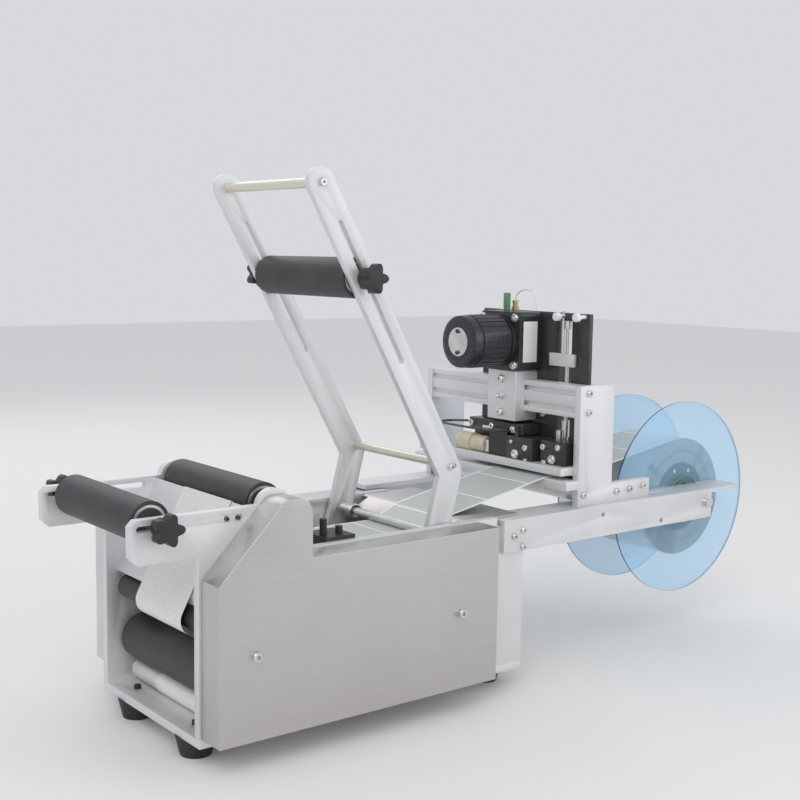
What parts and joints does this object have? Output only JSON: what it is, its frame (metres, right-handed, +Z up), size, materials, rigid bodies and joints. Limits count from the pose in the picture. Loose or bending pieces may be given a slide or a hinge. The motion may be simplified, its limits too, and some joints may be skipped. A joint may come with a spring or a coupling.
{
  "type": "bottle labelling machine",
  "caption": "Bench machine that rolls a bottle on long rollers under a swing arm and wraps on labels from a reel, with a ribbon date coder on a gantry.",
  "frame": {"origin": "on the floor in the middle of the four feet", "axes": "+X back from the bottle rollers to the reel, +Y from the operator's side to the far side, +Z up"},
  "size_m": [0.9696, 0.356, 0.6013],
  "materials": {
    "satin_aluminium": "bead blasted and clear anodised",
    "brushed_stainless": "fine brushed",
    "painted_housing": "satin powder coat",
    "black_plastic": "moulded, fine grain",
    "cream_plastic": "moulded",
    "spool_plastic": "moulded",
    "black_rubber": "moulded",
    "roller_rubber": "ground",
    "belt_rubber": "moulded",
    "knurled_steel": "fine knurl",
    "satin_steel": "turned",
    "cream_rod": "turned, warm clear coat",
    "clear_acrylic": "polished, pale blue",
    "label_paper": "coated labels on a pale liner",
    "black_metal": "satin black",
    "ribbon_film": "thin film"
  },
  "bodies": {
    "frame": {"base_plate": "satin_aluminium", "side_plate_near": "satin_aluminium", "side_plate_far": "satin_aluminium", "peel_plate": "satin_aluminium", "deck_sheet": "brushed_stainless", "rear_plate": "satin_aluminium", "rubber_feet": "black_rubber", "control_box": "painted_housing", "control_unit": "black_plastic", "belt_cover": "brushed_stainless", "rail_near": "satin_aluminium", "rail_far": "satin_aluminium", "gantry_side_near": "satin_aluminium", "gantry_side_far": "satin_aluminium", "cross_beam": "satin_aluminium", "tie_bar": "satin_aluminium", "platen_bar": "satin_aluminium", "pivot_shaft": "satin_steel", "drive_motor": "black_metal", "drive_belt": "belt_rubber", "label_web": "label_paper", "waste_liner": "label_paper", "frame_screws": "satin_steel", "label_sensor": "black_plastic", "return_spring": "satin_steel", "reel_shaft": "satin_steel"},
    "swing_arm": {"arm_near": "satin_aluminium", "arm_far": "satin_aluminium", "arm_rods": "cream_rod", "arm_screws": "satin_steel"},
    "press_carriage": {"press_shaft": "satin_steel"},
    "press_roll": {"press_roller": "roller_rubber"},
    "press_knob_a": {"press_knob_near": "black_plastic"},
    "press_knob_b": {"press_knob_far": "black_plastic"},
    "front_carriage": {"front_shaft": "satin_steel"},
    "front_roll": {"front_roller": "roller_rubber"},
    "front_knob_a": {"front_knob_near": "black_plastic"},
    "front_knob_b": {"front_knob_far": "black_plastic"},
    "rear_roll": {"rear_roller": "roller_rubber"},
    "traction_roll": {"traction_roller": "roller_rubber"},
    "pinch_roll": {"pinch_roller": "knurled_steel"},
    "idler_roll": {"idler_roller": "roller_rubber"},
    "motor_shaft": {"drive_pulley": "satin_steel"},
    "guide_roll": {"guide_roller": "satin_steel"},
    "reel": {"reel_discs": "clear_acrylic", "reel_hub": "black_plastic", "label_roll": "label_paper"},
    "coder": {"clamp_block": "satin_aluminium", "coder_plate": "black_metal", "coder_gearbox": "black_metal", "coder_motor": "black_metal", "coder_drive": "black_metal", "ribbon_brackets": "black_metal", "ribbon_pins": "satin_steel", "tension_unit": "satin_steel", "ink_ribbon": "ribbon_film"},
    "head": {"print_head": "black_metal"},
    "supply": {"supply_spool": "spool_plastic"},
    "takeup": {"takeup_spool": "spool_plastic"},
    "feed": {"feed_knob": "cream_plastic"}
  },
  "joints": [
    {"name": "arm_swing", "type": "hinge", "parent": "frame", "child": "swing_arm", "pos_m": [0.09475, 0, 0.198], "axis": [0, -1, 0], "range_deg": [0, 45], "stiffness_Nm_per_rad": 2.5, "springref_deg": -51.57},
    {"name": "press_height", "type": "slide", "parent": "swing_arm", "child": "press_carriage", "axis": [-0.4924, 0, 0.8704], "range_m": [-0.1, 0.062]},
    {"name": "press_roll_spin", "type": "hinge", "parent": "press_carriage", "child": "press_roll", "pos_m": [-0.01181, 0, 0.48739], "axis": [0, 1, 0], "continuous": true},
    {"name": "press_knob_a_turn", "type": "hinge", "parent": "press_carriage", "child": "press_knob_a", "pos_m": [-0.01181, -0.11, 0.48739], "axis": [0, 1, 0], "continuous": true},
    {"name": "press_knob_b_turn", "type": "hinge", "parent": "press_carriage", "child": "press_knob_b", "pos_m": [-0.01181, 0.11, 0.48739], "axis": [0, 1, 0], "continuous": true},
    {"name": "front_reach", "type": "slide", "parent": "frame", "child": "front_carriage", "axis": [1, 0, 0], "range_m": [-0.021, 0.014]},
    {"name": "front_roll_spin", "type": "hinge", "parent": "front_carriage", "child": "front_roll", "pos_m": [-0.25875, 0, 0.2518], "axis": [0, 1, 0], "continuous": true},
    {"name": "front_knob_a_turn", "type": "hinge", "parent": "front_carriage", "child": "front_knob_a", "pos_m": [-0.25875, -0.12, 0.2518], "axis": [0, 1, 0], "continuous": true},
    {"name": "front_knob_b_turn", "type": "hinge", "parent": "front_carriage", "child": "front_knob_b", "pos_m": [-0.25875, 0.12, 0.2518], "axis": [0, 1, 0], "continuous": true},
    {"name": "traction_spin", "type": "hinge", "parent": "frame", "child": "traction_roll", "pos_m": [-0.17925, 0, 0.0833], "axis": [0, 1, 0], "continuous": true},
    {"name": "rear_roll_spin", "type": "hinge", "parent": "frame", "child": "rear_roll", "pos_m": [-0.13065, 0, 0.2574], "axis": [0, 1, 0], "continuous": true},
    {"name": "pinch_spin", "type": "hinge", "parent": "frame", "child": "pinch_roll", "pos_m": [-0.18025, 0, 0.045], "axis": [0, 1, 0], "continuous": true},
    {"name": "motor_spin", "type": "hinge", "parent": "frame", "child": "motor_shaft", "pos_m": [-0.10825, 0, 0.122], "axis": [0, 1, 0], "continuous": true},
    {"name": "idler_spin", "type": "hinge", "parent": "frame", "child": "idler_roll", "pos_m": [-0.19575, 0, 0.1425], "axis": [0, 1, 0], "continuous": true},
    {"name": "guide_spin", "type": "hinge", "parent": "frame", "child": "guide_roll", "pos_m": [0.32875, 0.042, 0.2246], "axis": [0, 1, 0], "continuous": true},
    {"name": "reel_spin", "type": "hinge", "parent": "frame", "child": "reel", "pos_m": [0.54875, -0.019, 0.189], "axis": [0, 1, 0], "continuous": true},
    {"name": "coder_slide", "type": "slide", "parent": "frame", "child": "coder", "axis": [0, 1, 0], "range_m": [0, 0.05]},
    {"name": "head_press", "type": "slide", "parent": "coder", "child": "head", "axis": [0, 0, 1], "range_m": [-0.003, 0], "stiffness_N_per_m": 1500, "springref_m": 0.004},
    {"name": "supply_spin", "type": "hinge", "parent": "coder", "child": "supply", "pos_m": [0.38475, 0.0255, 0.367], "axis": [0, 1, 0], "continuous": true},
    {"name": "takeup_spin", "type": "hinge", "parent": "coder", "child": "takeup", "pos_m": [0.38475, 0.0255, 0.307], "axis": [0, 1, 0], "continuous": true},
    {"name": "feed_spin", "type": "hinge", "parent": "coder", "child": "feed", "pos_m": [0.30675, 0.08, 0.264], "axis": [0, 1, 0], "continuous": true}
  ],
  "couplings": [
    {"joint": "rear_roll_spin", "follows": "traction_spin", "ratio": 1.1636},
    {"joint": "pinch_spin", "follows": "traction_spin", "ratio": -2.1695},
    {"joint": "motor_spin", "follows": "traction_spin", "ratio": 1.3091}
  ]
}
